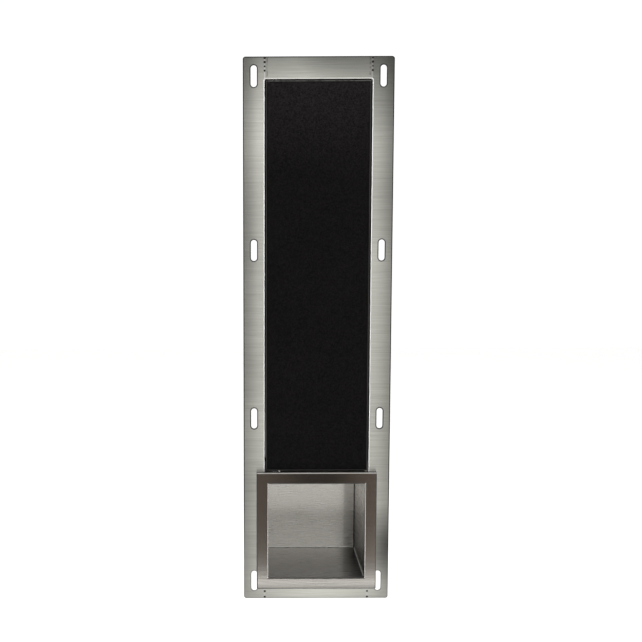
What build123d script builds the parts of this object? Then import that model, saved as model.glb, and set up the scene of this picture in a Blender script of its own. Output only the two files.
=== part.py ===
from build123d import *
import os

# Recessed wall dispenser: a sheet-steel casing with a slotted flange, a tall hatch on two pivots,
# and a pull-out niche at the foot. Millimetres. X right, Y into the wall, Z up.
# Origin: middle of the flange's rear face, which lies on the wall.

# driving dimensions
flangeWidth = 170.0
flangeHeight = 628.0
sideRim = 24.5
endRim = 25.0
sheet = 1.2
casingDepth = 110.0
foldRadius = 1.5
cornerRadius = 3.0
reliefRadius = 0.9
seamGap = 0.1
pressGap = 0.02
screwClearance = 0.1

slotWidth = 7.0
slotLength = 24.0
slotX = 72.75
slotPitch = 195.0

frameSize = 140.0
frameBorder = 13.5
frameProud = 6.0
frameCentreZ = -230.75
nicheDepth = 113.8
nicheFold = 1.0
edgeBreak = 0.6

hatchGap = 1.4
traySheet = 1.0
trayDepth = 8.2
boardThickness = 6.0
boardRecess = 0.2
boardClearance = 0.3

pivotX = -49.0
pivotY = 3.4
pinRadius = 2.0
pinClearance = 0.05
bushRadius = 2.8

latchX = 40.0
latchY = 40.5
latchZ = 277.0
plungerRadius = 4.5
plungerClearance = 0.06

# sizes that follow from them
front = -sheet
halfOpening = flangeWidth / 2 - sideRim
halfHeight = flangeHeight / 2
wallTop = halfHeight - endRim
slotHeights = [slotPitch * step for step in (-1.5, -0.5, 0.5, 1.5)]
frameFront = front - frameProud
nicheHalf = frameSize / 2 - frameBorder
nicheTop = frameCentreZ + nicheHalf
nicheFloor = frameCentreZ - nicheHalf
frameTop = frameCentreZ + frameSize / 2
nicheRear = frameFront + nicheDepth
hatchHalf = halfOpening - hatchGap
hatchTop = wallTop - hatchGap
hatchBottom = frameTop + hatchGap
trayRear = front + trayDepth


def block(x0, x1, y0, y1, z0, z1):
    """A box from its six limits."""
    centre = ((x0 + x1) / 2, (y0 + y1) / 2, (z0 + z1) / 2)
    return Pos(*centre) * Box(x1 - x0, y1 - y0, z1 - z0)


def rod(start, direction, length, radius):
    """A round bar from its start point."""
    plane = Plane(origin=start, z_dir=direction)
    return extrude(plane * Circle(radius), length)


def foldedSheet(plane, points, thickness, radius, length):
    """Sheet bent along a path of mid-surface points and pushed along the plane's normal."""
    path = FilletPolyline(*points, radius=radius - thickness / 2)
    return extrude(plane * trace(path, thickness), length)


def edgesAlong(shape, axis, test):
    """The straight edges of a shape along one axis that pass a test on their middle point."""
    return [edge for edge in shape.edges().filter_by(axis) if test(edge.center())]


def save(name, *pieces):
    """Write one node: a single solid, or a group of separate ones."""
    solids = [solid for piece in pieces for solid in piece.solids()]
    shape = solids[0] if len(solids) == 1 else Compound(children=solids)
    shape.label = name
    export_step(shape, f"parts/{name}.step")


# casing

def verticalSlot(x, z):
    straight = slotLength - slotWidth
    slot = block(x - slotWidth / 2, x + slotWidth / 2, front - 1, 1, z - straight / 2, z + straight / 2)
    for end in (-1, 1):
        slot += rod((x, front - 1, z + end * straight / 2), (0, 1, 0), sheet + 2, slotWidth / 2)
    return slot


def casingShell():
    edge = flangeWidth / 2
    wall = halfOpening + sheet / 2
    flangeMiddle = front / 2
    rear = casingDepth - sheet / 2
    points = [(-edge, flangeMiddle), (-wall, flangeMiddle), (-wall, rear)]
    points += [(-x, y) for x, y in reversed(points)]
    floor = Plane.XY.offset(-wallTop)
    shell = foldedSheet(floor, points, sheet, foldRadius, 2 * wallTop)
    seam = halfOpening + seamGap
    for side in (-1, 1):
        for end in (-1, 1):
            x0, x1 = sorted((side * seam, side * edge))
            z0, z1 = sorted((end * wallTop, end * halfHeight))
            shell += block(x0, x1, front, 0, z0, z1)
    outer = edgesAlong(shell, Axis.Y, lambda p: abs(p.X) > edge - 0.1 and abs(p.Z) > halfHeight - 0.1)
    shell = fillet(outer, cornerRadius)
    for side in (-1, 1):
        for z in slotHeights:
            shell -= verticalSlot(side * slotX, z)
        for end in (-1, 1):
            shell -= reliefHole(side, end)
    return shell - clinchHoles()


def reliefHole(side, end):
    return rod((side * halfOpening, front - 1, end * wallTop), (0, 1, 0), sheet + 1, reliefRadius)


def endCap(end):
    """Top (end = 1) or bottom (end = -1) wall with its flange."""
    wall = end * (wallTop + sheet / 2)
    rear = casingDepth - sheet - seamGap
    points = [(front / 2, end * halfHeight), (front / 2, wall), (rear, wall)]
    halfWidth = halfOpening - seamGap
    side = Plane.YZ.offset(-halfWidth)
    cap = foldedSheet(side, points, sheet, foldRadius, 2 * halfWidth)
    for x in (-1, 1):
        cap -= reliefHole(x, end)
    return cap


def topCap():
    cap = endCap(1)
    cap -= rod((pivotX, pivotY, wallTop - 1), (0, 0, 1), sheet + 2, bushRadius + pressGap)
    for x, y in latchScrewPlaces():
        cap -= rod((x, y, wallTop - 1), (0, 0, 1), sheet + 2, latchScrew["radius"] + screwClearance)
    return cap


def weldBead(start, direction, length, corner):
    """A quarter-round bead that fills an open corner between two sheet edges."""
    radius = sheet
    bar = rod(start, direction, length, radius)
    x, y, z = start
    reach = 2 * casingDepth
    keepX = (x, x + corner[0] * reach) if corner[0] else (x - reach, x + reach)
    keepY = (y, y + corner[1] * reach) if corner[1] else (y - reach, y + reach)
    keepZ = (z, z + corner[2] * reach)
    return bar & block(*sorted(keepX), *sorted(keepY), *sorted(keepZ))


stitch = {"length": 14.0, "sides": (18.0, 48.0, 78.0), "rear": (-40.0, -7.0, 26.0)}


def seamWelds():
    beads = []
    for end in (-1, 1):
        for y in stitch["sides"]:
            for side in (-1, 1):
                start = (side * (halfOpening - seamGap), y, end * wallTop)
                beads.append(weldBead(start, (0, 1, 0), stitch["length"], (side, 0, end)))
        for x in stitch["rear"]:
            start = (x, casingDepth - sheet - seamGap, end * wallTop)
            beads.append(weldBead(start, (1, 0, 0), stitch["length"], (0, 1, end)))
    return beads


stopRail = {"width": 8.0, "face": 10.0, "leg": 12.0, "bottom": -150.0, "top": 262.0}
bumpStop = {"radius": 3.0, "stem": 1.5, "inset": 4.6, "gap": 0.4, "neck": 0.8, "barb": 0.5,
            "barbLength": 1.0, "heights": (-130.0, 60.0, 245.0)}


def rightStopRail():
    half = sheet / 2
    x0 = halfOpening - stopRail["width"]
    y0 = stopRail["face"] + half
    points = [(x0, y0), (halfOpening - half, y0), (halfOpening - half, y0 + stopRail["leg"])]
    base = Plane.XY.offset(stopRail["bottom"])
    rail = foldedSheet(base, points, sheet, foldRadius, stopRail["top"] - stopRail["bottom"])
    for z in bumpStop["heights"]:
        rail -= rod((bumpX(), stopRail["face"] - 1, z), (0, 1, 0), sheet + 2, bumpStop["stem"])
    return rail


def bumpX():
    return halfOpening - bumpStop["inset"]


def bumpStops():
    stops = []
    headStart = trayRear + bumpStop["gap"]
    for z in bumpStop["heights"]:
        head = rod((bumpX(), headStart, z), (0, 1, 0), stopRail["face"] - headStart, bumpStop["radius"])
        stem = rod((bumpX(), stopRail["face"], z), (0, 1, 0), sheet + bumpStop["neck"], bumpStop["stem"])
        barb = rod((bumpX(), stopRail["face"] + sheet, z), (0, 1, 0), bumpStop["barbLength"],
                   bumpStop["stem"] + bumpStop["barb"])
        stops.append(head + stem + barb)
    return stops


# lower pivot bracket, held by two countersunk screws so that the hatch can be taken out

bracket = {"plate": 2.0, "drop": 2.2, "leg": 24.0, "front": -0.6, "rear": 36.0, "tabRear": 8.4,
           "reach": 5.0, "tipRadius": 3.0}
bracketScrew = {"radius": 1.5, "head": 2.8, "gap": 0.05, "socket": 1.15, "socketDepth": 1.2,
                "places": ((13.0, -14.0), (28.0, -14.0))}
clinchNut = {"radius": 3.0, "shank": 2.1, "length": 2.4, "gap": 0.02}


def bracketTop():
    return hatchBottom - bracket["drop"]


def lowerPivotBracket():
    top = bracketTop()
    wall = -halfOpening
    leg = block(wall, wall + bracket["plate"], bracket["front"], bracket["rear"], top - bracket["leg"], top)
    tab = block(wall, pivotX + bracket["reach"], bracket["front"], bracket["tabRear"],
                top - bracket["plate"], top)
    body = leg + tab
    tip = edgesAlong(body, Axis.Z, lambda p: p.X > pivotX + bracket["reach"] - 0.1)
    body = fillet(tip, bracket["tipRadius"])
    body -= rod((pivotX, pivotY, top - 5), (0, 0, 1), 6, bushRadius + pressGap)
    for start in bracketScrewStarts():
        body -= countersunkScrew(start, bracketScrew["gap"])
    return body


def bracketScrewStarts():
    x = -halfOpening + bracket["plate"]
    return [(x, y, bracketTop() + z) for y, z in bracketScrew["places"]]


def countersunkScrew(start, gap=0.0):
    """A screw that points along -X, with its head's face at the start point."""
    radius = bracketScrew["radius"] + gap
    head = bracketScrew["head"] + gap
    shank = rod(start, (-1, 0, 0), bracket["plate"] + sheet + clinchNut["length"], radius)
    x, y, z = start
    depth = head - radius
    cone = Pos(x - depth / 2, y, z) * Rot(0, 90, 0) * Cone(radius, head, depth)
    return shank + cone


def bracketScrews():
    screws = []
    for start in bracketScrewStarts():
        x, y, z = start
        plane = Plane(origin=(x + 1, y, z), z_dir=(-1, 0, 0))
        socket = extrude(plane * RegularPolygon(bracketScrew["socket"], 6), 1 + bracketScrew["socketDepth"])
        screws.append(countersunkScrew(start) - socket)
    return screws


def clinchHoles():
    holes = None
    for x, y, z in bracketScrewStarts():
        hole = rod((-halfOpening + 1, y, z), (-1, 0, 0), sheet + 2, clinchNut["shank"])
        holes = hole if holes is None else holes + hole
    return holes


def clinchNuts():
    nuts = []
    for x, y, z in bracketScrewStarts():
        shank = rod((-halfOpening, y, z), (-1, 0, 0), sheet, clinchNut["shank"])
        body = rod((-halfOpening - sheet, y, z), (-1, 0, 0), clinchNut["length"], clinchNut["radius"])
        bore = rod((-halfOpening + 1, y, z), (-1, 0, 0), 8, bracketScrew["radius"] + clinchNut["gap"])
        nuts.append(shank + body - bore)
    return nuts


# pivots

studFoot = {"radius": 4.0, "thickness": 0.7}
pin = {"length": 6.0, "tip": 0.5}
bush = {"flangeRadius": 3.3, "flangeThickness": 0.9, "above": 3.5, "below": 2.0, "under": 0.1}


def pivotStud(end):
    z = hatchTop if end > 0 else hatchBottom
    foot = rod((pivotX, pivotY, z), (0, 0, end), studFoot["thickness"], studFoot["radius"])
    stud = rod((pivotX, pivotY, z), (0, 0, end), pin["length"], pinRadius)
    tip = stud.edges().group_by(Axis.Z)[-1 if end > 0 else 0]
    return foot + chamfer(tip, pin["tip"])


def bushCollar(z):
    return rod((pivotX, pivotY, z), (0, 0, 1), bush["flangeThickness"], bush["flangeRadius"])


def upperPivotBush():
    bottom = wallTop - bush["under"]
    body = rod((pivotX, pivotY, bottom), (0, 0, 1), sheet + bush["above"], bushRadius)
    bore = rod((pivotX, pivotY, bottom - 1), (0, 0, 1), 9, pinRadius + pinClearance)
    return body + bushCollar(wallTop + sheet) - bore


def lowerPivotBush():
    top = bracketTop()
    body = rod((pivotX, pivotY, top), (0, 0, -1), bracket["plate"] + bush["below"], bushRadius)
    bore = rod((pivotX, pivotY, top + 2), (0, 0, -1), 9, pinRadius + pinClearance)
    return bushCollar(top) + body - bore


# push latch under the top cap

latch = {"width": 14.0, "length": 52.0, "lug": 8.0, "lugLength": 12.0, "lugHeight": 5.0, "lugRadius": 3.0,
         "plugDepth": 4.0, "plugPlate": 2.0, "plugGap": 0.5, "rest": 0.4}
latchScrew = {"radius": 1.75, "head": 3.2, "headHeight": 2.2, "headRound": 0.8, "past": 2.0,
              "drive": 1.2, "driveDepth": 1.4}
spring = {"wire": 0.35, "radius": 3.0, "turns": 9}
plunger = {"length": 34.0, "chamfer": 0.4}
magnet = {"radius": 3.4, "length": 4.0}
strike = {"width": 22.0, "height": 16.0, "thickness": 1.5, "corner": 2.0}
strikeRivet = {"radius": 1.6, "place": 8.0, "overlap": 1.0, "head": 0.9, "headRound": 0.6}


def latchFront():
    return latchY - latch["length"] / 2


def latchRear():
    return latchFront() + latch["length"]


def latchScrewPlaces():
    x = latch["width"] / 2 + latch["lug"] / 2
    y = latchFront() + latch["length"] / 2
    return [(latchX - x, y), (latchX + x, y)]


def latchHousing():
    half = latch["width"] / 2
    body = block(latchX - half, latchX + half, latchFront(), latchRear(), latchZ - half, wallTop)
    middle = latchFront() + latch["length"] / 2
    reach = half + latch["lug"]
    lugs = block(latchX - reach, latchX + reach, middle - latch["lugLength"] / 2,
                 middle + latch["lugLength"] / 2, wallTop - latch["lugHeight"], wallTop)
    corners = edgesAlong(lugs, Axis.Z, lambda p: True)
    body += fillet(corners, latch["lugRadius"])
    body -= rod((latchX, latchFront() - 1, latchZ), (0, 1, 0), latch["length"] + 2,
                plungerRadius + plungerClearance)
    for x, y in latchScrewPlaces():
        body -= rod((x, y, wallTop - 9), (0, 0, 1), 10, latchScrew["radius"] + screwClearance)
    return body


def latchEndPlug():
    inside = rod((latchX, latchRear(), latchZ), (0, -1, 0), latch["plugDepth"], plungerRadius)
    half = latch["width"] / 2
    plate = block(latchX - half, latchX + half, latchRear(), latchRear() + latch["plugPlate"],
                  latchZ - half, wallTop - latch["plugGap"])
    return inside + plate


def latchSpring():
    """Compression spring between the plunger's tail and the end plug."""
    start = plungerTip() + plunger["length"] + spring["wire"]
    length = latchRear() - latch["plugDepth"] - spring["wire"] - start
    helix = Helix(length / spring["turns"], length, spring["radius"])
    coil = Plane(origin=(latchX, start, latchZ), z_dir=(0, 1, 0)) * helix
    section = Plane(origin=coil @ 0, z_dir=coil % 0) * Circle(spring["wire"])
    return sweep(section, path=coil, is_frenet=True)


def latchScrews():
    screws = []
    bottom = wallTop - latch["lugHeight"]
    for x, y in latchScrewPlaces():
        head = rod((x, y, bottom), (0, 0, -1), latchScrew["headHeight"], latchScrew["head"])
        head = fillet(head.edges().group_by(Axis.Z)[0], latchScrew["headRound"])
        length = latch["lugHeight"] + sheet + latchScrew["past"]
        shank = rod((x, y, bottom), (0, 0, 1), length, latchScrew["radius"])
        drive = rod((x, y, bottom - latchScrew["headHeight"] - 1), (0, 0, 1), latchScrew["driveDepth"] + 1,
                    latchScrew["drive"])
        screws.append(head + shank - drive)
    return screws


def plungerTip():
    return trayRear + strike["thickness"] + latch["rest"]


def latchPlunger():
    tip = plungerTip()
    body = rod((latchX, tip, latchZ), (0, 1, 0), plunger["length"], plungerRadius)
    body = chamfer(body.edges().group_by(Axis.Y)[-1], plunger["chamfer"])
    return body - rod((latchX, tip, latchZ), (0, 1, 0), magnet["length"], magnet["radius"])


def latchMagnet():
    return rod((latchX, plungerTip(), latchZ), (0, 1, 0), magnet["length"], magnet["radius"])


# hatch

def trayBox(inset, y0, y1):
    half = hatchHalf - inset
    return block(-half, half, y0, y1, hatchBottom + inset, hatchTop - inset)


trayRound = {"corners": 1.2, "rear": 1.0}
boardBevel = 0.3
tape = {"thickness": 1.0, "width": 20.0, "endGap": 20.0, "places": (-40.0, 0.0, 40.0)}


def hatchTray():
    outside = trayBox(0, front, trayRear)
    corners = edgesAlong(outside, Axis.Y, lambda p: True)
    outside = fillet(corners, trayRound["corners"])
    rearEdges = outside.faces().sort_by(Axis.Y)[-1].edges()
    outside = fillet(rearEdges, trayRound["rear"])
    return outside - trayBox(traySheet, front - 1, trayRear - traySheet)


def tileBoard():
    y0 = front + boardRecess
    board = trayBox(traySheet + boardClearance, y0, y0 + boardThickness)
    rim = board.faces().sort_by(Axis.Y)[0].edges()
    return chamfer(rim, boardBevel)


def bondingTapes():
    half = tape["width"] / 2
    y0 = front + boardRecess + boardThickness
    y1 = y0 + tape["thickness"]
    z0 = hatchBottom + tape["endGap"]
    z1 = hatchTop - tape["endGap"]
    return [block(x - half, x + half, y0, y1, z0, z1) for x in tape["places"]]


def strikePlate():
    half = strike["width"] / 2
    tall = strike["height"] / 2
    plate = block(latchX - half, latchX + half, trayRear, trayRear + strike["thickness"],
                  latchZ - tall, latchZ + tall)
    plate = fillet(edgesAlong(plate, Axis.Y, lambda p: True), strike["corner"])
    for x in strikeRivetPlaces():
        plate -= rod((x, trayRear - 1, latchZ), (0, 1, 0), 4, strikeRivet["radius"])
    return plate


def strikeRivetPlaces():
    return (latchX - strikeRivet["place"], latchX + strikeRivet["place"])


def strikeRivets():
    rivets = []
    y1 = trayRear + strike["thickness"]
    for x in strikeRivetPlaces():
        shank = rod((x, trayRear, latchZ), (0, 1, 0), strike["thickness"], strikeRivet["radius"])
        head = rod((x, y1, latchZ), (0, 1, 0), strikeRivet["head"],
                   strikeRivet["radius"] + strikeRivet["overlap"])
        head = fillet(head.edges().group_by(Axis.Y)[-1], strikeRivet["headRound"])
        rivets.append(shank + head)
    return rivets


# niche insert

frameRound = {"corners": 1.0, "front": 1.2}
returnGap = 0.3
slitDepth = 1.0
backPlate = {"thickness": 1.0, "lean": 0.9, "bend": 4.0}


def squareTube(halfOutside, halfInside, y0, y1):
    ring = Rectangle(2 * halfOutside, 2 * halfOutside) - Rectangle(2 * halfInside, 2 * halfInside)
    plane = Plane(origin=(0, y0, frameCentreZ), x_dir=(1, 0, 0), z_dir=(0, 1, 0))
    return extrude(plane * ring, y1 - y0)


def lowerCorner(half):
    """Test for the two lower corners of a square tube with this half width."""
    return lambda p: abs(abs(p.X) - half) < 0.05 and abs(p.Z - (frameCentreZ - half)) < 0.05


def nicheBody():
    """Frame, returns and throat walls in one, before the header is cut off along the mitres."""
    half = frameSize / 2
    returns = squareTube(half, half - sheet, frameFront, front - returnGap)
    face = squareTube(half, nicheHalf, frameFront, frameFront + sheet)
    walls = squareTube(nicheHalf + sheet, nicheHalf, frameFront, nicheRear)
    body = returns + face + walls
    corners = edgesAlong(body, Axis.Y, lambda p: abs(p.X) > half - 0.1)
    body = fillet(corners, frameRound["corners"])
    body = fillet(edgesAlong(body, Axis.Y, lowerCorner(nicheHalf)), nicheFold)
    body = fillet(edgesAlong(body, Axis.Y, lowerCorner(nicheHalf + sheet)), nicheFold + sheet)
    body -= rearEdgeBreak()
    flat = body.faces().filter_by(Axis.Y).sort_by(Axis.Y)[0]
    body = fillet(flat.edges(), frameRound["front"])
    above = nicheTop + 2 * sheet
    body -= block(-half, half, throatDepth(), nicheRear + 1, nicheTop, above)
    return body


def rearEdgeBreak():
    """The bevel inside the throat's rear edge, which leaves a fine groove against the back plate."""
    plane = Plane(origin=(0, nicheRear + 0.01, frameCentreZ), x_dir=(1, 0, 0), z_dir=(0, -1, 0))
    wide = 2 * (nicheHalf + edgeBreak)
    return loft([plane * Rectangle(wide, wide),
                 plane.offset(edgeBreak) * Rectangle(2 * nicheHalf, 2 * nicheHalf)])


def throatDepth():
    return front + slitDepth


def mitreWedge():
    """Everything above the two mitre lines that run down from the frame's top corners."""
    half = frameSize / 2
    reach = half + 10
    z = frameCentreZ
    points = [(0, z), (reach, z + reach), (-reach, z + reach)]
    plane = Plane(origin=(0, throatDepth() + 1, 0), x_dir=(1, 0, 0), z_dir=(0, -1, 0))
    return extrude(plane * make_face(Polyline(*points, close=True)), 20)


def nicheWrap():
    wrap = nicheBody() - mitreWedge()
    for x, y, z in clipPlaces():
        wrap -= rod((-80, y, z), (1, 0, 0), 160, clipRivet["radius"])
    return wrap


# the header's shelf behind the frame, turned up at the back to hide the gap under the hatch
shelf = {"rear": 13.0, "lip": 11.3, "notch": -42.0}


def headerShelf():
    half = nicheHalf + sheet
    level = nicheTop + sheet / 2
    back = shelf["rear"] - sheet / 2
    flat = block(-half, shelf["notch"], throatDepth(), shelf["rear"], nicheTop, nicheTop + sheet)
    points = [(throatDepth(), level), (back, level), (back, nicheTop + shelf["lip"])]
    side = Plane.YZ.offset(shelf["notch"])
    return flat + foldedSheet(side, points, sheet, foldRadius, half - shelf["notch"])


def nicheHeader():
    return (nicheBody() & mitreWedge()) + headerShelf()


def nicheBack():
    thickness = backPlate["thickness"]
    middle = nicheRear + thickness / 2
    bend = backPlate["bend"]
    points = [(middle, nicheFloor - sheet), (middle, nicheTop - bend),
              (middle + backPlate["lean"], nicheTop + bend)]
    side = Plane.YZ.offset(-nicheHalf - sheet)
    return foldedSheet(side, points, thickness, thickness, 2 * (nicheHalf + sheet))


clip = {"y": 18.0, "heights": (-36.0, 14.0), "height": 10.0, "foot": 8.0, "rise": 2.3, "leaf": 0.4,
        "bend": 1.0, "crownFrom": 4.0, "crownTo": 12.0, "tip": 16.0}
clipRivet = {"radius": 1.5, "overlap": 1.0, "head": 0.8}


def clipPlaces():
    outside = nicheHalf + sheet
    places = []
    for side in (-1, 1):
        for z in clip["heights"]:
            places.append((side * outside, clip["y"], frameCentreZ + z))
    return places


def nicheClips():
    """Leaf springs: a riveted foot, then a bow that reaches for the casing's side."""
    clips = []
    for x, y, z in clipPlaces():
        side = 1 if x > 0 else -1
        base = x + side * clip["leaf"] / 2
        crown = x + side * (clip["rise"] - clip["leaf"] / 2)
        y0 = y - clip["foot"] / 2
        y1 = y + clip["foot"] / 2
        points = [(base, y0), (base, y1), (crown, y1 + clip["crownFrom"]), (crown, y1 + clip["crownTo"]),
                  (base, y1 + clip["tip"])]
        plane = Plane.XY.offset(z - clip["height"] / 2)
        leaf = foldedSheet(plane, points, clip["leaf"], clip["bend"], clip["height"])
        leaf -= rod((x - 2, y, z), (1, 0, 0), 4, clipRivet["radius"])
        clips.append(leaf)
    return clips


def clipRivets():
    rivets = []
    for x, y, z in clipPlaces():
        side = 1 if x > 0 else -1
        inner = x - side * sheet
        shank = rod((inner, y, z), (side, 0, 0), sheet + clip["leaf"], clipRivet["radius"])
        head = rod((x + side * clip["leaf"], y, z), (side, 0, 0), clipRivet["head"],
                   clipRivet["radius"] + clipRivet["overlap"])
        rivets.append(shank + head)
    return rivets


os.makedirs("parts", exist_ok=True)

save("casing_shell", casingShell())
save("top_cap", topCap())
save("bottom_cap", endCap(-1))
save("seam_welds", *seamWelds())
save("right_stop_rail", rightStopRail())
save("bump_stops", *bumpStops())
save("lower_pivot_bracket", lowerPivotBracket())
save("bracket_screws", *bracketScrews())
save("clinch_nuts", *clinchNuts())
save("upper_pivot_bush", upperPivotBush())
save("lower_pivot_bush", lowerPivotBush())
save("latch_housing", latchHousing())
save("latch_end_plug", latchEndPlug())
save("latch_spring", latchSpring())
save("latch_screws", *latchScrews())

save("hatch_tray", hatchTray())
save("tile_board", tileBoard())
save("bonding_tapes", *bondingTapes())
save("upper_pivot_stud", pivotStud(1))
save("lower_pivot_stud", pivotStud(-1))
save("strike_plate", strikePlate())
save("strike_rivets", *strikeRivets())

save("latch_plunger", latchPlunger())
save("latch_magnet", latchMagnet())

save("niche_wrap", nicheWrap())
save("niche_header", nicheHeader())
save("niche_back", nicheBack())
save("niche_clips", *nicheClips())
save("clip_rivets", *clipRivets())
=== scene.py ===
# Recessed wall dispenser: brushed steel casing, black hatch, open niche. Metres, Z up, front faces -Y.
import math

import bpy
from mathutils import Matrix, Vector


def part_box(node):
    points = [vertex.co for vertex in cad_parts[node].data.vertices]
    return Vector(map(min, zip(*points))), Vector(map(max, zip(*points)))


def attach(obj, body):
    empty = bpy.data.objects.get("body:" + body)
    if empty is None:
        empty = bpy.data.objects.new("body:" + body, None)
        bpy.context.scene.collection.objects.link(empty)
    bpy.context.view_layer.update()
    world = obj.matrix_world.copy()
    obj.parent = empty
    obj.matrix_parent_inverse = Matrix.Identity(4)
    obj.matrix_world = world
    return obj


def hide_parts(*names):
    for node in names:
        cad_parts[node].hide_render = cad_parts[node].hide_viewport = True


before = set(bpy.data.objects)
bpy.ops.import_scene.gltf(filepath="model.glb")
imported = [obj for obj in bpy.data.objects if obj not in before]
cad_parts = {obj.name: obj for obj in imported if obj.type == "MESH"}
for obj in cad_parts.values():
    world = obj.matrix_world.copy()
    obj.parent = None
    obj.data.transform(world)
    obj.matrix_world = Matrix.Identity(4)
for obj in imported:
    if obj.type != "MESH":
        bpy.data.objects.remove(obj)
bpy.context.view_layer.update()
scene = bpy.context.scene


# small helpers for shader nodes

def newMaterial(name):
    mat = bpy.data.materials.new(name)
    mat.use_nodes = True
    tree = mat.node_tree
    return mat, tree, tree.nodes["Principled BSDF"]


def addNode(tree, kind, **settings):
    node = tree.nodes.new(kind)
    for key, value in settings.items():
        setattr(node, key, value)
    return node


def feed(tree, socket, value):
    # a number is typed into the socket, anything else is linked to it
    if isinstance(value, (int, float)):
        socket.default_value = value
    else:
        tree.links.new(value, socket)


def calc(tree, operation, *values):
    node = addNode(tree, "ShaderNodeMath", operation=operation)
    for socket, value in zip(node.inputs, values):
        feed(tree, socket, value)
    return node.outputs[0]


def above(tree, value, limit):
    return calc(tree, "GREATER_THAN", value, limit)


def below(tree, value, limit):
    return calc(tree, "LESS_THAN", value, limit)


def allOf(tree, first, *others):
    # masks of 0 and 1 multiplied together
    for other in others:
        first = calc(tree, "MULTIPLY", first, other)
    return first


def shadeWhere(tree, mask, shade):
    # the shade where the mask is 1, and 1 elsewhere
    return calc(tree, "ADD", calc(tree, "MULTIPLY", mask, calc(tree, "SUBTRACT", shade, 1.0)), 1.0)


def sumOfSquares(tree, a, b):
    return calc(tree, "ADD", calc(tree, "MULTIPLY", a, a), calc(tree, "MULTIPLY", b, b))


def remap(tree, value, low, high, toLow, toHigh):
    node = addNode(tree, "ShaderNodeMapRange")
    feed(tree, node.inputs["Value"], value)
    for end, number in (("From Min", low), ("From Max", high), ("To Min", toLow), ("To Max", toHigh)):
        node.inputs[end].default_value = number
    return node.outputs["Result"]


def noise(tree, vector, scale, detail=2.0, rough=0.5):
    node = addNode(tree, "ShaderNodeTexNoise")
    feed(tree, node.inputs["Vector"], vector)
    node.inputs["Scale"].default_value = scale
    node.inputs["Detail"].default_value = detail
    node.inputs["Roughness"].default_value = rough
    return node.outputs["Fac"]


def stretched(tree, vector, scale):
    node = addNode(tree, "ShaderNodeMapping")
    feed(tree, node.inputs["Vector"], vector)
    node.inputs["Scale"].default_value = scale
    return node.outputs["Vector"]


def objectSpace(tree):
    return addNode(tree, "ShaderNodeTexCoord").outputs["Object"]


def split(tree, vector):
    node = addNode(tree, "ShaderNodeSeparateXYZ")
    feed(tree, node.inputs[0], vector)
    return node.outputs


def blend(tree, factor, low, high):
    # colours are typed in, links are followed
    node = addNode(tree, "ShaderNodeMix", data_type="RGBA")
    feed(tree, node.inputs[0], factor)
    for socket, colour in ((node.inputs[6], low), (node.inputs[7], high)):
        if isinstance(colour, tuple):
            socket.default_value = (*colour, 1)
        else:
            feed(tree, socket, colour)
    return node.outputs[2]


def times(tree, colour, factor):
    node = addNode(tree, "ShaderNodeVectorMath", operation="SCALE")
    feed(tree, node.inputs[0], colour)
    feed(tree, node.inputs["Scale"], factor)
    return node.outputs[0]


def bump(tree, height, strength, distance, under=None):
    node = addNode(tree, "ShaderNodeBump")
    node.inputs["Strength"].default_value = strength
    node.inputs["Distance"].default_value = distance
    feed(tree, node.inputs["Height"], height)
    if under is not None:
        feed(tree, node.inputs["Normal"], under)
    return node.outputs[0]


# brushed sheet: the grain runs along X on every face, and along Y on faces that look sideways

def brushCoordinates(tree, along, across):
    coords = objectSpace(tree)
    geometry = addNode(tree, "ShaderNodeNewGeometry")
    local = addNode(tree, "ShaderNodeVectorTransform", vector_type="NORMAL",
                    convert_from="WORLD", convert_to="OBJECT")
    feed(tree, local.inputs[0], geometry.outputs["Normal"])
    normalParts = split(tree, local.outputs[0])
    lying = calc(tree, "GREATER_THAN", calc(tree, "ABSOLUTE", normalParts[2]), 0.5)
    pick = addNode(tree, "ShaderNodeMix", data_type="VECTOR")
    feed(tree, pick.inputs[0], lying)
    feed(tree, pick.inputs[4], stretched(tree, coords, (along, along, across)))
    feed(tree, pick.inputs[5], stretched(tree, coords, (along, across, along)))
    side = calc(tree, "ABSOLUTE", normalParts[0])
    grain = addNode(tree, "ShaderNodeCombineXYZ")
    feed(tree, grain.inputs[0], calc(tree, "SUBTRACT", 1.0, side))
    feed(tree, grain.inputs[1], side)
    cross = addNode(tree, "ShaderNodeVectorMath", operation="CROSS_PRODUCT")
    feed(tree, cross.inputs[0], local.outputs[0])
    feed(tree, cross.inputs[1], grain.outputs[0])
    world = addNode(tree, "ShaderNodeVectorTransform", vector_type="VECTOR",
                    convert_from="OBJECT", convert_to="WORLD")
    feed(tree, world.inputs[0], cross.outputs[0])
    return coords, pick.outputs[1], world.outputs[0]


# the casing's flange: where its free edges are, how they roll over and curl back, and how it is shaded
flange = {"halfWidth": 0.085, "halfHeight": 0.314, "corner": 0.003, "slotX": 0.07275, "slotPitch": 0.195,
          "slotStraight": 0.0085, "slotRadius": 0.0035, "rollIn": 0.0014, "rollOut": 0.0009, "curl": 2.2,
          "curlStart": 0.068, "openingX": 0.0605, "openingZ": 0.289,
          "openingCorner": 0.0015, "foldWidth": 0.0014, "foldDepth": 0.0008,
          "flankDepth": 0.0095, "flankShade": 0.16, "bodyShade": 0.74, "tintFrom": 0.0568, "tintTo": 0.0586,
          "tintShade": 0.62, "tintSpots": 260.0, "frontDepth": 0.0015,
          "edgeFadeLow": -0.27, "edgeFadeHigh": -0.2, "edgeFade": 0.4}
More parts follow.
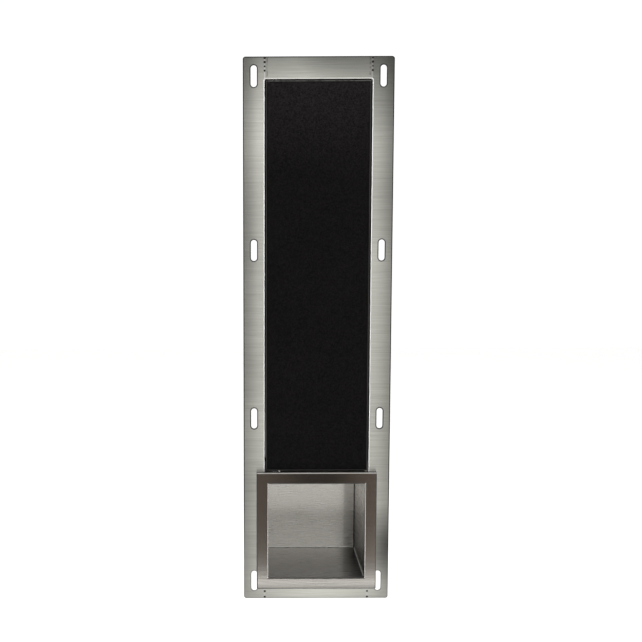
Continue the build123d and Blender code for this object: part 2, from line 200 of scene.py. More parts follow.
# painted shade by distance from the opening, and painted shade and highlight patches as (x, z, radius,
# factor)
flangePaintedLight = {"wobble": 0.012, "wobbleScale": 11.0, "near": 0.003, "far": 0.0245,
              "nearShade": 1.02, "farShade": 0.69,
              "patches": [(0.082, 0.318, 0.1, 0.4), (0.02, 0.345, 0.06, 0.35),
                          (-0.03, 0.345, 0.07, 0.7), (-0.088, 0.318, 0.06, 0.78),
                          (0.094, -0.25, 0.054, 0.08), (-0.09, 0.09, 0.075, 0.93),
                          (0.088, 0.16, 0.07, 0.74), (-0.1, 0.22, 0.07, 1.4),
                          (-0.1, -0.11, 0.07, 1.25), (0.0, -0.335, 0.1, 1.95)],
              "cornerX": 0.0605, "cornerFrom": 0.2, "cornerTo": 0.3, "cornerShade": 0.72}


touch = 0.0001  # how near to a surface still counts as on it


def roundedDistance(tree, a, b, halfA, halfB, radius):
    # how far a point lies outside a rounded rectangle, from its two centred coordinates
    outA = calc(tree, "MAXIMUM", calc(tree, "SUBTRACT", calc(tree, "ABSOLUTE", a), halfA - radius), 0.0)
    outB = calc(tree, "MAXIMUM", calc(tree, "SUBTRACT", calc(tree, "ABSOLUTE", b), halfB - radius), 0.0)
    return calc(tree, "SUBTRACT", calc(tree, "SQRT", sumOfSquares(tree, outA, outB)), radius)


def flangeEdgeShade(tree, coords):
    # painted shade along the rolled edges: 1 right at a cut edge, 0 further in than the roll, weaker towards
    # the bottom
    x, y, z = split(tree, coords)
    outline = roundedDistance(tree, x, z, flange["halfWidth"], flange["halfHeight"], flange["corner"])
    nearOutline = remap(tree, outline, -flange["rollIn"], -flange["rollOut"], 0.0, 1.0)
    row = calc(tree, "SUBTRACT", calc(tree, "PINGPONG", calc(tree, "ABSOLUTE", z), flange["slotPitch"]),
               flange["slotPitch"] / 2)
    slotSide = calc(tree, "SUBTRACT", calc(tree, "ABSOLUTE", x), flange["slotX"])
    radius = flange["slotRadius"]
    slot = roundedDistance(tree, slotSide, row, radius, flange["slotStraight"] + radius, radius)
    nearSlot = remap(tree, slot, flange["rollOut"], flange["rollIn"], 1.0, 0.0)
    either = calc(tree, "MAXIMUM", nearOutline, nearSlot)
    paintedLightByHeight = remap(tree, z, flange["edgeFadeLow"], flange["edgeFadeHigh"], flange["edgeFade"], 1.0)
    return allOf(tree, either, below(tree, y, flange["frontDepth"]), paintedLightByHeight)


def openingDistance(tree, coords):
    x, y, z = split(tree, coords)
    return roundedDistance(tree, x, z, flange["openingX"], flange["openingZ"], flange["openingCorner"])


def openingFoldHighlight(tree, coords):
    # painted highlight on the bend round the opening
    inside = below(tree, openingDistance(tree, coords), flange["foldWidth"])
    return allOf(tree, inside, below(tree, split(tree, coords)[1], flange["foldDepth"]))


def flangeShade(tree, coords):
    # painted reflection and shade: the outer part of the flange is darker than the part by the opening
    x, y, z = split(tree, coords)
    unevenness = calc(tree, "SUBTRACT", noise(tree, coords, flangePaintedLight["wobbleScale"], 1.0), 0.5)
    wobble = calc(tree, "MULTIPLY", unevenness, flangePaintedLight["wobble"])
    away = calc(tree, "ADD", openingDistance(tree, coords), wobble)
    shade = remap(tree, away, flangePaintedLight["near"], flangePaintedLight["far"],
                  flangePaintedLight["nearShade"], flangePaintedLight["farShade"])
    # painted shade: the flanks of the gap round the hatch are dark, and the casing behind them is darker too
    within = below(tree, openingDistance(tree, coords), touch)
    behind = above(tree, y, touch)
    onFlank = allOf(tree, within, behind, below(tree, y, flange["flankDepth"]))
    shade = calc(tree, "MULTIPLY", shade, shadeWhere(tree, onFlank, flange["flankShade"]))
    shade = calc(tree, "MULTIPLY", shade, shadeWhere(tree, behind, flange["bodyShade"]))
    # heat has tinted the sheet beside the corner seams
    across = calc(tree, "ABSOLUTE", x)
    inTint = allOf(tree, above(tree, across, flange["tintFrom"]), below(tree, across, flange["tintTo"]),
                   above(tree, z, flange["openingZ"] + flange["foldWidth"]))
    spots = remap(tree, noise(tree, coords, flange["tintSpots"], 1.0), 0.35, 0.6, 1.0, flange["tintShade"])
    shade = calc(tree, "MULTIPLY", shade, shadeWhere(tree, inTint, spots))
    # painted shade: the top right corner beyond the seam darkens upwards
    paintedCornerShade = remap(tree, z, flangePaintedLight["cornerFrom"], flangePaintedLight["cornerTo"], 1.0, flangePaintedLight["cornerShade"])
    beyondSeam = above(tree, x, flangePaintedLight["cornerX"])
    shade = calc(tree, "MULTIPLY", shade, shadeWhere(tree, beyondSeam, paintedCornerShade))
    # painted shade and highlight patches
    for px, pz, radius, factor in flangePaintedLight["patches"]:
        squares = sumOfSquares(tree, calc(tree, "SUBTRACT", x, px), calc(tree, "SUBTRACT", z, pz))
        patch = remap(tree, calc(tree, "SQRT", squares), 0.0, radius, factor, 1.0)
        shade = calc(tree, "MULTIPLY", shade, patch)
    return shade


def curlHeight(tree, coords):
    # in millimetres: the free edge curls back with the square of its distance
    x = split(tree, coords)[0]
    out = calc(tree, "MAXIMUM", calc(tree, "SUBTRACT", calc(tree, "ABSOLUTE", x), flange["curlStart"]), 0.0)
    return calc(tree, "MULTIPLY", calc(tree, "MULTIPLY", out, out), -1000.0 * flange["curl"])


# the niche: its polished frame face, the groove at the back with painted shade, and painted fold highlights
# beside the floor
nicheLow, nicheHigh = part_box("niche_wrap")
niche = {"faceDepth": 0.0008, "border": 0.0135, "groove": 0.0028, "foldHighlight": 0.0011, "backLine": 0.0014,
         "skin": 0.00005, "contact": 0.0004, "edge": 0.0011, "outerCorner": 0.0016, "rim": 0.0012,
         "backBand": 0.0009, "returnFrom": 0.0019, "returnBelow": 0.0125, "returnShade": 0.12, "topEdge": 0.6}
# painted shade and light: side walls by height, floor by width and depth, back plate by height with a darker
# right end
nichePaintedLight = {"wallFrom": 0.01, "wallTo": 0.0965, "wallLow": 0.16, "wallHigh": 1.4,
             "mouth": 0.003, "mouthShade": 0.45,
             "floorTone": 0.8, "floorFront": 0.55, "floorRight": 0.3, "floorShadeFrom": 0.03, "floorShadeTo": 0.05,
             "backLow": 0.86, "backMiddle": 0.97, "backHigh": 1.06, "backStep": 0.052, "stepBlur": 0.005,
             "sideBand": 0.0135, "bandBlur": 0.001, "sideShade": 0.8,
             "lipFrom": 0.0005, "lipTo": 0.0082, "lipLow": 0.45, "lipHigh": 1.1}
throatX = nicheHigh[0] - niche["border"]
floorZ = nicheLow[2] + niche["border"]
backY = nicheHigh[1] - niche["skin"]


def frameFace(tree, coords):
    # 1 on the frame's front face, 0 on the walls behind it
    return below(tree, split(tree, coords)[1], nicheLow[1] + niche["faceDepth"])


def nicheJointShade(tree, coords):
    # 1 in the dark joint between the throat and the back plate, widened by painted shade in the corner
    x, y, z = split(tree, coords)
    across = calc(tree, "ABSOLUTE", x)
    onWalls = allOf(tree, above(tree, y, nicheHigh[1] - niche["groove"]), below(tree, y, backY))
    onBack = allOf(tree, above(tree, across, throatX - niche["backBand"]), above(tree, y, backY))
    return calc(tree, "MAXIMUM", onWalls, onBack)


def frameEdgeShade(tree, coords):
    # painted shade: 1 along the frame's outer bend, less along its top, and 1 in a fine line over and under
    # the throat
    x, y, z = split(tree, coords)
    half = nicheHigh[0]
    fromCentre = calc(tree, "SUBTRACT", z, nicheLow[2] + half)
    outer = roundedDistance(tree, x, fromCentre, half, half, niche["outerCorner"])
    alongTop = above(tree, z, nicheHigh[2] - niche["edge"])
    onBend = allOf(tree, above(tree, outer, -niche["edge"]), shadeWhere(tree, alongTop, niche["topEdge"]))
    height = calc(tree, "ABSOLUTE", fromCentre)
    rim = allOf(tree, above(tree, height, throatX - niche["rim"] / 3),
                below(tree, height, throatX + niche["rim"]), below(tree, calc(tree, "ABSOLUTE", x), throatX),
                below(tree, y, nicheLow[1] + niche["rim"]))
    return allOf(tree, calc(tree, "MAXIMUM", onBend, rim), below(tree, y, 0.0))


def nicheShade(tree, coords):
    # painted shade and reflection: the lower corners are darkest, the side walls darken towards the floor and
    # by the mouth, and the floor towards its right end and its front
    x, y, z = split(tree, coords)
    across = calc(tree, "ABSOLUTE", x)
    onSide = allOf(tree, above(tree, across, throatX - niche["contact"]), below(tree, y, backY))
    wall = remap(tree, z, floorZ + nichePaintedLight["wallFrom"], floorZ + nichePaintedLight["wallTo"],
                 nichePaintedLight["wallLow"], nichePaintedLight["wallHigh"])
    atMouth = below(tree, y, nicheLow[1] + nichePaintedLight["mouth"])
    wall = calc(tree, "MULTIPLY", wall, shadeWhere(tree, atMouth, nichePaintedLight["mouthShade"]))
    onFloor = allOf(tree, below(tree, z, floorZ + niche["contact"]), calc(tree, "SUBTRACT", 1.0, onSide))
    run = remap(tree, x, nichePaintedLight["floorShadeFrom"], nichePaintedLight["floorShadeTo"],
                nichePaintedLight["floorTone"], nichePaintedLight["floorRight"])
    run = calc(tree, "MULTIPLY", run, remap(tree, y, 0.0, nicheHigh[1], nichePaintedLight["floorFront"], 1.0))
    # painted light and reflection: the back plate is lighter above, and its right end darker as it mirrors
    # the side wall
    step, blur = floorZ + nichePaintedLight["backStep"], nichePaintedLight["stepBlur"]
    plate = remap(tree, z, floorZ, step, nichePaintedLight["backLow"], 1.0)
    paintedLightAbove = remap(tree, z, step - blur, step + blur, nichePaintedLight["backMiddle"], nichePaintedLight["backHigh"])
    plate = calc(tree, "MULTIPLY", plate, paintedLightAbove)
    edge, blur = throatX - nichePaintedLight["sideBand"], nichePaintedLight["bandBlur"]
    mirrored = remap(tree, x, edge - blur, edge + blur, 1.0, nichePaintedLight["sideShade"])
    plate = calc(tree, "MULTIPLY", plate, mirrored)
    # painted shadow: the return over the frame's top and the shelf behind it are dark
    onReturn = allOf(tree, above(tree, z, nicheHigh[2] - niche["returnBelow"]),
                     above(tree, y, nicheLow[1] + niche["returnFrom"]))
    shade = calc(tree, "MULTIPLY", shadeWhere(tree, onSide, wall), shadeWhere(tree, onFloor, run))
    shade = calc(tree, "MULTIPLY", shade, shadeWhere(tree, above(tree, y, backY), plate))
    return calc(tree, "MULTIPLY", shade, shadeWhere(tree, onReturn, niche["returnShade"]))


def lipShade(tree, coords):
    # the face darkens towards the bend along its lower edge
    low, high = (nicheLow[2] + nichePaintedLight[end] for end in ("lipFrom", "lipTo"))
    return remap(tree, split(tree, coords)[2], low, high, nichePaintedLight["lipLow"], nichePaintedLight["lipHigh"])


def nicheFoldHighlights(tree, coords):
    # painted highlight: 1 in the folds beside the floor and in the line where it meets the back
    x, y, z = split(tree, coords)
    inCorner = allOf(tree, below(tree, z, floorZ + niche["foldHighlight"]),
                     above(tree, calc(tree, "ABSOLUTE", x), throatX - niche["foldHighlight"]))
    onBack = allOf(tree, below(tree, z, floorZ + niche["backLine"]), above(tree, y, backY))
    return allOf(tree, calc(tree, "MAXIMUM", inCorner, onBack), above(tree, y, 0.0))


def brushedSteel(name, look):
    mat, tree, shader = newMaterial(name)
    coords, grainSpace, acrossGrain = brushCoordinates(tree, look["along"], look["across"])
    fine = noise(tree, grainSpace, 1.0, 3.0, 0.6)
    broad = noise(tree, grainSpace, 0.12)
    mixed = calc(tree, "ADD", calc(tree, "MULTIPLY", fine, 1.0 - look["broad"]),
                 calc(tree, "MULTIPLY", broad, look["broad"]))
    shade = remap(tree, mixed, 0.3, 0.7, 0.0, 1.0)
    colour = blend(tree, shade, look["dark"], look["light"])
    rough, spread = look["rough"], look["roughSpread"]
    rough = remap(tree, mixed, 0.3, 0.7, rough - spread, rough + spread)
    height = calc(tree, "MULTIPLY", noise(tree, coords, look["cloudScale"], 1.0), look["cloudHeight"])
    if look.get("flange"):
        # the flange gets painted shade along its edges and over its face, and a painted highlight on the fold
        edgeShade = flangeEdgeShade(tree, coords)
        colour = times(tree, colour, flangeShade(tree, coords))
        colour = blend(tree, openingFoldHighlight(tree, coords), colour, look["foldHighlight"])
        colour = blend(tree, edgeShade, colour, look["edge"])
        height = calc(tree, "ADD", height, curlHeight(tree, coords))
    if "faceRough" in look:
        # painted shade and light over the niche walls, floor, back and frame top
        colour = times(tree, colour, nicheShade(tree, coords))
        face = frameFace(tree, coords)
        pick = addNode(tree, "ShaderNodeMix", data_type="FLOAT")
        feed(tree, pick.inputs[0], face)
        feed(tree, pick.inputs[2], rough)
        pick.inputs[3].default_value = look["faceRough"]
        rough = pick.outputs[0]
        polished = blend(tree, shade, look["faceDark"], look["faceLight"])
        polished = times(tree, polished, lipShade(tree, coords))
        colour = blend(tree, face, colour, polished)
        # painted fold highlights, then the dark joint and painted edge shade
        colour = blend(tree, nicheFoldHighlights(tree, coords), colour, look["foldHighlight"])
        colour = blend(tree, nicheJointShade(tree, coords), colour, look["joint"])
        edgeShade = calc(tree, "MULTIPLY", frameEdgeShade(tree, coords), look["edgeMix"])
        colour = blend(tree, edgeShade, colour, look["joint"])
    feed(tree, shader.inputs["Base Color"], colour)
    feed(tree, shader.inputs["Roughness"], rough)
    shader.inputs["Metallic"].default_value = 1.0
    shader.inputs["Anisotropic"].default_value = look["anisotropy"]
    feed(tree, shader.inputs["Tangent"], acrossGrain)
    waves = bump(tree, height, 1.0, 0.001)
    feed(tree, shader.inputs["Normal"], bump(tree, fine, look["groove"], 0.00005, waves))
    return mat


steelLooks = {
    # the fold colours are painted highlights; the edge colour is painted shade, and the joint colour a dark
    # joint and painted shade
    "flangeSteel": dict(dark=(0.5, 0.5, 0.474), light=(0.68, 0.68, 0.648), rough=0.34, roughSpread=0.05,
                        anisotropy=0.9, along=22.0, across=900.0, broad=0.2, groove=0.35, cloudScale=9.0,
                        cloudHeight=0.35, flange=True, foldHighlight=(0.95, 0.95, 0.93), edge=(0.05, 0.05, 0.048)),
    "nicheSteel": dict(dark=(0.71, 0.69, 0.67), light=(0.82, 0.8, 0.78), rough=0.28, roughSpread=0.02,
                       anisotropy=1.0, along=45.0, across=1200.0, broad=0.1, groove=0.2, cloudScale=7.0,
                       cloudHeight=0.1, faceRough=0.05, faceDark=(0.68, 0.66, 0.635),
                       faceLight=(0.78, 0.76, 0.735), foldHighlight=(0.95, 0.94, 0.92), joint=(0.03, 0.027, 0.025),
                       edgeMix=0.92),
    "innerSteel": dict(dark=(0.44, 0.44, 0.42), light=(0.56, 0.56, 0.54), rough=0.42, roughSpread=0.05,
                       anisotropy=0.5, along=20.0, across=400.0, broad=0.4, groove=0.15, cloudScale=9.0,
                       cloudHeight=0.1),
}
mats = {name: brushedSteel(name, look) for name, look in steelLooks.items()}


plainGrain = {"scale": 900.0, "darker": 0.8, "roughSpread": 0.06}


def plainMetal(name, colour, rough):
    mat, tree, shader = newMaterial(name)
    speck = noise(tree, objectSpace(tree), plainGrain["scale"], 3.0)
    dark = tuple(c * plainGrain["darker"] for c in colour)
    spread = plainGrain["roughSpread"]
    feed(tree, shader.inputs["Base Color"], blend(tree, speck, dark, colour))
    feed(tree, shader.inputs["Roughness"], remap(tree, speck, 0.3, 0.7, rough - spread, rough + spread))
    shader.inputs["Metallic"].default_value = 1.0
    return mat


def weldMetal(name, look):
    # straw and blue heat tint in patches over dull ripples
    mat, tree, shader = newMaterial(name)
    coords = objectSpace(tree)
    patch = remap(tree, noise(tree, coords, look["patch"], 2.0), 0.35, 0.65, 0.0, 1.0)
    feed(tree, shader.inputs["Base Color"], blend(tree, patch, look["blue"], look["straw"]))
    grit = noise(tree, coords, look["grit"], 3.0)
    feed(tree, shader.inputs["Roughness"], remap(tree, grit, 0.3, 0.7, look["smooth"], look["rough"]))
    shader.inputs["Metallic"].default_value = 1.0
    feed(tree, shader.inputs["Normal"], bump(tree, grit, 0.4, look["depth"]))
    return mat


# what the coats share, unless a look says otherwise
coatBasics = {"cloudScale": 14.0, "cloud": 0.5, "contrast": 0.4, "roughSpread": 0.08, "specular": 0.5}


def coated(name, look):
    # powder coat, board, rubber and plastic: a fine grain in colour, gloss and height
    look = {**coatBasics, **look}
    mat, tree, shader = newMaterial(name)
    coords = objectSpace(tree)
    x, y, z = split(tree, coords)
    speck = noise(tree, coords, look["grain"], 3.0, 0.6)
    cloud = noise(tree, coords, look["cloudScale"])
    mixed = calc(tree, "ADD", calc(tree, "MULTIPLY", speck, 1.0 - look["cloud"]),
                 calc(tree, "MULTIPLY", cloud, look["cloud"]))
    dark = tuple(c * (1.0 - look["contrast"]) for c in look["colour"])
    light = tuple(min(1.0, c * (1.0 + look["contrast"])) for c in look["colour"])
    colour = blend(tree, remap(tree, mixed, 0.3, 0.7, 0.0, 1.0), dark, light)
    if "paintedLightByHeight" in look:
        # painted reflection: paler towards the top
        colour = times(tree, colour, remap(tree, z, look["topLightFrom"], look["topLightTo"], 1.0, look["paintedLightByHeight"]))
    if "wornGlint" in look:
        # rubbed through in places along the upper lip, painted lighter as a glint
        onLip = allOf(tree, above(tree, z, look["wornAbove"]), below(tree, y, look["wornFront"]))
        dots = remap(tree, noise(tree, coords, look["wornScale"], 1.0), 0.4, 0.55, look["wornLeast"], 1.0)
        colour = blend(tree, calc(tree, "MULTIPLY", onLip, dots), colour, look["wornGlint"])
    feed(tree, shader.inputs["Base Color"], colour)
    rough, spread = look["rough"], look["roughSpread"]
    feed(tree, shader.inputs["Roughness"], remap(tree, speck, 0.3, 0.7, rough - spread, rough + spread))
    shader.inputs["Specular IOR Level"].default_value = look["specular"]
    feed(tree, shader.inputs["Normal"], bump(tree, speck, 0.5, look["depth"]))
    return mat


trayLow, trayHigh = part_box("hatch_tray")
metalLooks = {
    "screwSteel": ((0.62, 0.62, 0.6), 0.3),
    "springSteel": ((0.55, 0.56, 0.57), 0.25),
    "blackenedSteel": ((0.05, 0.05, 0.052), 0.45),
    "zincPlate": ((0.5, 0.51, 0.53), 0.4),
    "magnetNickel": ((0.66, 0.64, 0.6), 0.18),
}
coatLooks = {
    # the tray's worn colour is partly a painted glint along its upper lip
    "trayCoat": dict(colour=(0.02, 0.019, 0.018), rough=0.5, grain=700.0, depth=0.00003, specular=0.3,
                     wornGlint=(0.07, 0.068, 0.065), wornAbove=trayHigh[2] - 0.0011,
                     wornFront=trayLow[1] + 0.0002, wornScale=300.0, wornLeast=0.15),
    # the board is paler towards the top: a painted reflection
    "blackBoard": dict(colour=(0.0034, 0.0029, 0.003), rough=0.62, grain=640.0, depth=0.00008, specular=0.05,
                       contrast=0.9, cloud=0.1, topLightFrom=0.18, topLightTo=0.29, paintedLightByHeight=2.6),
    "blackRubber": dict(colour=(0.02, 0.02, 0.02), rough=0.7, grain=500.0, depth=0.00005),
    "whitePlastic": dict(colour=(0.6, 0.59, 0.56), rough=0.45, grain=800.0, depth=0.00002),
    "greyPlastic": dict(colour=(0.16, 0.165, 0.17), rough=0.5, grain=800.0, depth=0.00003),
    "foamTape": dict(colour=(0.5, 0.49, 0.46), rough=0.8, grain=600.0, depth=0.00008),
}
weldLooks = {
    "weldSteel": dict(patch=420.0, grit=1500.0, smooth=0.35, rough=0.6, depth=0.00006,
                      blue=(0.2, 0.21, 0.24), straw=(0.46, 0.38, 0.26)),
    "tackSteel": dict(patch=500.0, grit=1500.0, smooth=0.35, rough=0.6, depth=0.00006,
                      blue=(0.02, 0.02, 0.022), straw=(0.07, 0.06, 0.05)),
}
for name, (colour, rough) in metalLooks.items():
    mats[name] = plainMetal(name, colour, rough)
for name, look in coatLooks.items():
    mats[name] = coated(name, look)
for name, look in weldLooks.items():
    mats[name] = weldMetal(name, look)

finishOf = {
    "casing_shell": "flangeSteel", "top_cap": "flangeSteel", "bottom_cap": "flangeSteel",
    "seam_welds": "weldSteel", "right_stop_rail": "innerSteel", "bump_stops": "blackRubber",
    "lower_pivot_bracket": "innerSteel", "bracket_screws": "screwSteel", "clinch_nuts": "screwSteel",
    "upper_pivot_bush": "whitePlastic", "lower_pivot_bush": "greyPlastic", "latch_housing": "greyPlastic",
    "latch_end_plug": "greyPlastic", "latch_spring": "springSteel", "latch_screws": "screwSteel",
    "hatch_tray": "trayCoat", "tile_board": "blackBoard", "bonding_tapes": "foamTape",
    "upper_pivot_stud": "blackenedSteel", "lower_pivot_stud": "blackenedSteel", "strike_plate": "zincPlate",
    "strike_rivets": "screwSteel", "latch_plunger": "whitePlastic", "latch_magnet": "magnetNickel",
    "niche_wrap": "nicheSteel", "niche_header": "nicheSteel", "niche_back": "nicheSteel",
    "niche_clips": "springSteel", "clip_rivets": "screwSteel",
}
for node, finish in finishOf.items():
    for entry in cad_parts[node].material_slots:
        entry.material = mats[finish]
print("finishes on the CAD nodes")


# welds: a Geometry Nodes tree strings flattened ripples along lines

rippleShape = {"segments": 12, "rings": 7}


def rippleTree():
    tree = bpy.data.node_groups.new("weldRipples", "GeometryNodeTree")
    sockets = tree.interface.new_socket
    for name, kind in (("Geometry", "Geometry"), ("Pitch", "Float"), ("Radius", "Float"),
                       ("Flatten", "Float"), ("Spread", "Float"), ("Seed", "Int"), ("Finish", "Material")):
        sockets(name, in_out="INPUT", socket_type="NodeSocket" + kind)
    sockets("Geometry", in_out="OUTPUT", socket_type="NodeSocketGeometry")
    into = addNode(tree, "NodeGroupInput").outputs
    out = addNode(tree, "NodeGroupOutput")
    link = tree.links.new
    curve = addNode(tree, "GeometryNodeMeshToCurve")
    link(into["Geometry"], curve.inputs[0])
    spaced = addNode(tree, "GeometryNodeResampleCurve", mode="LENGTH")
    link(curve.outputs[0], spaced.inputs["Curve"])
    link(into["Pitch"], spaced.inputs["Length"])
    ripple = addNode(tree, "GeometryNodeMeshUVSphere")
    ripple.inputs["Segments"].default_value = rippleShape["segments"]
    ripple.inputs["Rings"].default_value = rippleShape["rings"]
    link(into["Radius"], ripple.inputs["Radius"])
    # sizes vary a little from ripple to ripple
    least = calc(tree, "SUBTRACT", 1.0, into["Spread"])
    vary = addNode(tree, "FunctionNodeRandomValue", data_type="FLOAT")
    link(least, vary.inputs[2])
    vary.inputs[3].default_value = 1.0
    link(into["Seed"], vary.inputs["Seed"])
    squash = addNode(tree, "ShaderNodeCombineXYZ")
    link(vary.outputs[1], squash.inputs[0])
    link(calc(tree, "MULTIPLY", vary.outputs[1], into["Flatten"]), squash.inputs[1])
    link(vary.outputs[1], squash.inputs[2])
    place = addNode(tree, "GeometryNodeInstanceOnPoints")
    link(spaced.outputs[0], place.inputs["Points"])
    link(ripple.outputs["Mesh"], place.inputs["Instance"])
    link(squash.outputs[0], place.inputs["Scale"])
    real = addNode(tree, "GeometryNodeRealizeInstances")
    link(place.outputs[0], real.inputs[0])
    finish = addNode(tree, "GeometryNodeSetMaterial")
    link(real.outputs[0], finish.inputs["Geometry"])
    link(into["Finish"], finish.inputs["Material"])
    link(finish.outputs[0], out.inputs[0])
    return tree


def rippled(name, lines, tree, settings):
    # lines is a list of (start, end); the finished piece is a plain mesh
    points = [point for line in lines for point in line]
    mesh = bpy.data.meshes.new(name + "Lines")
    mesh.from_pydata(points, [(2 * i, 2 * i + 1) for i in range(len(lines))], [])
    guide = bpy.data.objects.new(name + "Lines", mesh)
    scene.collection.objects.link(guide)
    modifier = guide.modifiers.new("ripples", "NODES")
    modifier.node_group = tree
    for item in tree.interface.items_tree:
        if item.in_out == "INPUT" and item.name in settings:
            modifier[item.identifier] = settings[item.name]
    evaluated = guide.evaluated_get(bpy.context.evaluated_depsgraph_get())
    result = bpy.data.meshes.new_from_object(evaluated)
    result.name = name
    bpy.data.objects.remove(guide)
    piece = bpy.data.objects.new(name, result)
    scene.collection.objects.link(piece)
    for polygon in result.polygons:
        polygon.use_smooth = True
    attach(piece, "casing")
    return piece


weldLook = {"Pitch": 0.0009, "Radius": 0.00085, "Flatten": 1.0, "Spread": 0.18, "Seed": 4}
tackLook = {"Pitch": 0.0046, "Radius": 0.0015, "Flatten": 0.1, "Spread": 0.45, "Seed": 11}
stitch = {"length": 0.014, "inset": 0.0012, "outward": 0.00045, "sides": (0.018, 0.048, 0.078),
          "backs": (-0.040, -0.007, 0.026)}
tacks = {"topFrom": 0.2985, "topTo": 0.3125, "lowFrom": -0.3125, "lowTo": -0.3055}

ripples = rippleTree()
seamLow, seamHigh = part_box("seam_welds")
weldLines = []
inset = stitch["inset"]
for zSign, zEdge in ((-1, seamLow[2] + inset), (1, seamHigh[2] - inset)):
    z = zEdge + zSign * stitch["outward"]
    for y in stitch["sides"]:
        for xSign, xEdge in ((-1, seamLow[0] + inset), (1, seamHigh[0] - inset)):
            x = xEdge + xSign * stitch["outward"]
            weldLines.append(((x, y, z), (x, y + stitch["length"], z)))
    y = seamHigh[1] - inset + stitch["outward"]
    for x in stitch["backs"]:
        weldLines.append(((x, y, z), (x + stitch["length"], y, z)))
weldBeads = rippled("weldBeads", weldLines, ripples, {**weldLook, "Finish": mats["weldSteel"]})
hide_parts("seam_welds")

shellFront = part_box("casing_shell")[0][1]
tackLines = []
for xSign in (-1, 1):
    x = xSign * flange["openingX"]
    for low, high in ((tacks["topFrom"], tacks["topTo"]), (tacks["lowFrom"], tacks["lowTo"])):
        tackLines.append(((x, shellFront, low), (x, shellFront, high)))
seamTacks = rippled("seamTacks", tackLines, ripples, {**tackLook, "Finish": mats["tackSteel"]})
print("weld ripples and seam tacks")


# floor, reflectors, lights, camera

studio = {"floorZ": -0.85, "floorHalf": 6.0, "cardY": -1.62, "cardHalf": 2.4, "cardJoin": -0.3,
          "cardTop": 2.6, "glowHalf": 1.5, "glowNear": -0.1, "glowLift": 0.005, "world": 1.05,
          "floorColour": (0.93, 0.93, 0.925, 1), "floorRough": 0.9}
# brightness of the reflectors in front: colours by height or depth, and factors by distance to the side
highCard = {"along": [(-0.3, (0.16, 0.15, 0.13)), (-0.12, (1.45, 1.43, 1.36)), (0.3, (1.4, 1.4, 1.33)),
                      (0.8, (0.65, 0.65, 0.62)), (1.5, (0.25, 0.25, 0.25)), (2.6, (0.2, 0.2, 0.2))],
            "sides": [(-2.4, 0.45), (-0.6, 0.35), (-0.16, 0.4), (-0.07, 1.0), (0.36, 1.0), (0.6, 0.4),
                      (2.4, 0.45)]}
lowCard = {"along": [(-0.85, (0.1, 0.09, 0.08)), (-0.79, (0.07, 0.06, 0.052)), (-0.7, (0.055, 0.045, 0.038)),
                     (-0.5, (0.045, 0.036, 0.03)), (-0.3, (0.16, 0.15, 0.13))],
           "sides": [(-2.4, 2.0), (-0.12, 2.0), (-0.02, 1.7), (0.1, 0.7), (0.17, 0.7), (0.28, 2.2),
                     (2.4, 2.6)]}
floorGlow = {"along": [(-1.62, (0.12, 0.11, 0.1)), (-1.56, (0.35, 0.34, 0.32)), (-1.47, (1.2, 1.19, 1.14)),
                       (-0.9, (1.45, 1.44, 1.38)), (-0.5, (1.0, 1.0, 0.95)), (-0.1, (0.75, 0.75, 0.71))],
             "sides": [(-1.5, 0.35), (-0.55, 0.5), (-0.25, 1.0), (0.4, 1.0), (0.7, 0.5), (1.5, 0.35)]}


def flatSheet(name, corners, mat):
    mesh = bpy.data.meshes.new(name)
    mesh.from_pydata(corners, [], [(0, 1, 2, 3)])
    obj = bpy.data.objects.new(name, mesh)
    scene.collection.objects.link(obj)
    mesh.materials.append(mat)
    return obj


def ramp(tree, value, stops):
    # stops are (place, grey or colour), spread over the places' own range
    low, high = stops[0][0], stops[-1][0]
    node = addNode(tree, "ShaderNodeValToRGB")
    feed(tree, node.inputs[0], remap(tree, value, low, high, 0.0, 1.0))
    band = node.color_ramp
    while len(band.elements) < len(stops):
        band.elements.new(0.5)
    for element, (place, tone) in zip(band.elements, stops):
        element.position = (place - low) / (high - low)
        element.color = (*tone, 1) if isinstance(tone, tuple) else (tone, tone, tone, 1)
    return node.outputs[0]


floorMat, _, floorShader = newMaterial("paleFloor")
floorShader.inputs["Base Color"].default_value = studio["floorColour"]
floorShader.inputs["Roughness"].default_value = studio["floorRough"]
half = studio["floorHalf"]
z = studio["floorZ"]
flatSheet("floor", [(-half, -half, z), (half, -half, z), (half, half, z), (-half, half, z)], floorMat)


def reflector(name, corners, look, axis):
    # axis is 1 for a sheet that is graded by depth, 2 by height
    mat, tree, shader = newMaterial(name)
    shader.inputs["Base Color"].default_value = (0, 0, 0, 1)
    shader.inputs["Specular IOR Level"].default_value = 0.0
    shader.inputs["Emission Strength"].default_value = 1.0
    parts = split(tree, objectSpace(tree))
    product = addNode(tree, "ShaderNodeVectorMath", operation="MULTIPLY")
    feed(tree, product.inputs[0], ramp(tree, parts[axis], look["along"]))
    feed(tree, product.inputs[1], ramp(tree, parts[0], look["sides"]))
    feed(tree, shader.inputs["Emission Color"], product.outputs[0])
    sheet = flatSheet(name, corners, mat)
    sheet.visible_camera = False
    sheet.visible_diffuse = False
    sheet.visible_shadow = False


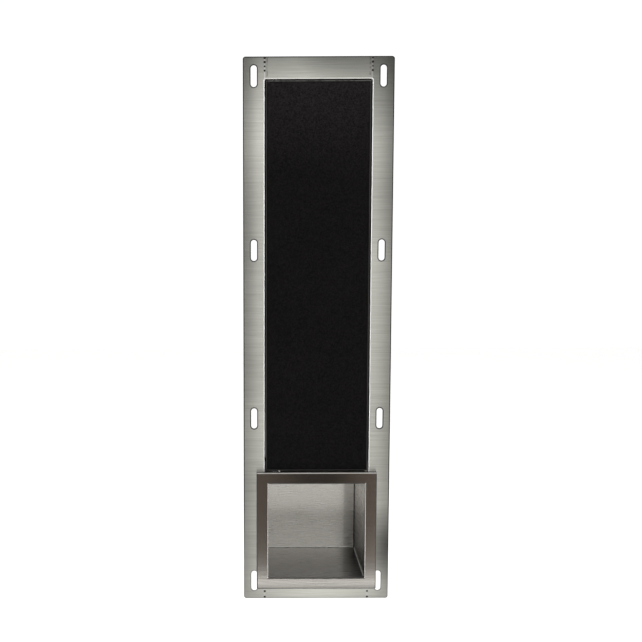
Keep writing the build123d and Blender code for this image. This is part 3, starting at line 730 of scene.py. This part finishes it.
half, y, join, top = studio["cardHalf"], studio["cardY"], studio["cardJoin"], studio["cardTop"]
reflector("highCard", [(-half, y, join), (-half, y, top), (half, y, top), (half, y, join)], highCard, 2)
reflector("lowCard", [(-half, y, z), (-half, y, join), (half, y, join), (half, y, z)], lowCard, 2)
half, up, near = studio["glowHalf"], z + studio["glowLift"], studio["glowNear"]
reflector("floorGlow", [(-half, y, up), (half, y, up), (half, near, up), (-half, near, up)], floorGlow, 1)

world = bpy.data.worlds.new("studio")
world.use_nodes = True
sky = world.node_tree.nodes["Background"]
sky.inputs["Color"].default_value = (1.0, 1.0, 1.0, 1)
sky.inputs["Strength"].default_value = studio["world"]
scene.world = world


def softbox(name, place, aim, size, power):
    data = bpy.data.lights.new(name, "AREA")
    data.shape = "RECTANGLE"
    data.size, data.size_y = size
    data.energy = power
    lamp = bpy.data.objects.new(name, data)
    scene.collection.objects.link(lamp)
    lamp.location = place
    direction = Vector(aim) - Vector(place)
    lamp.rotation_euler = direction.to_track_quat("-Z", "Y").to_euler()


lamps = {
    "leftBox": {"place": (-1.9, -0.5, 0.2), "aim": (0, 0, 0), "size": (0.8, 1.6), "power": 22.0},
    "rightBox": {"place": (1.9, -0.5, 0.2), "aim": (0, 0, 0), "size": (0.8, 1.6), "power": 18.0},
    "overhead": {"place": (0.0, 0.2, 2.4), "aim": (0, 0.2, 0), "size": (2.5, 2.5), "power": 30.0},
}
for name, values in lamps.items():
    softbox(name, **values)

camera = {"place": (-0.0954, -1.2578, 0.1598), "lens": 61.68, "sensor": 36.0, "pitch": 0.1191,
          "yaw": -0.0062, "roll": -0.0042, "shift": (0.1455, 0.0097)}
camData = bpy.data.cameras.new("camera")
camData.lens = camera["lens"]
camData.sensor_width = camera["sensor"]
camData.shift_x, camData.shift_y = camera["shift"]
cam = bpy.data.objects.new("camera", camData)
scene.collection.objects.link(cam)
cam.location = camera["place"]
turn = Matrix.Rotation(-camera["yaw"], 4, "Z") @ Matrix.Rotation(math.pi / 2 - camera["pitch"], 4, "X")
cam.rotation_euler = (turn @ Matrix.Rotation(camera["roll"], 4, "Z")).to_euler()
scene.camera = cam
scene.view_settings.view_transform = "Standard"
print("floor, lights and camera")
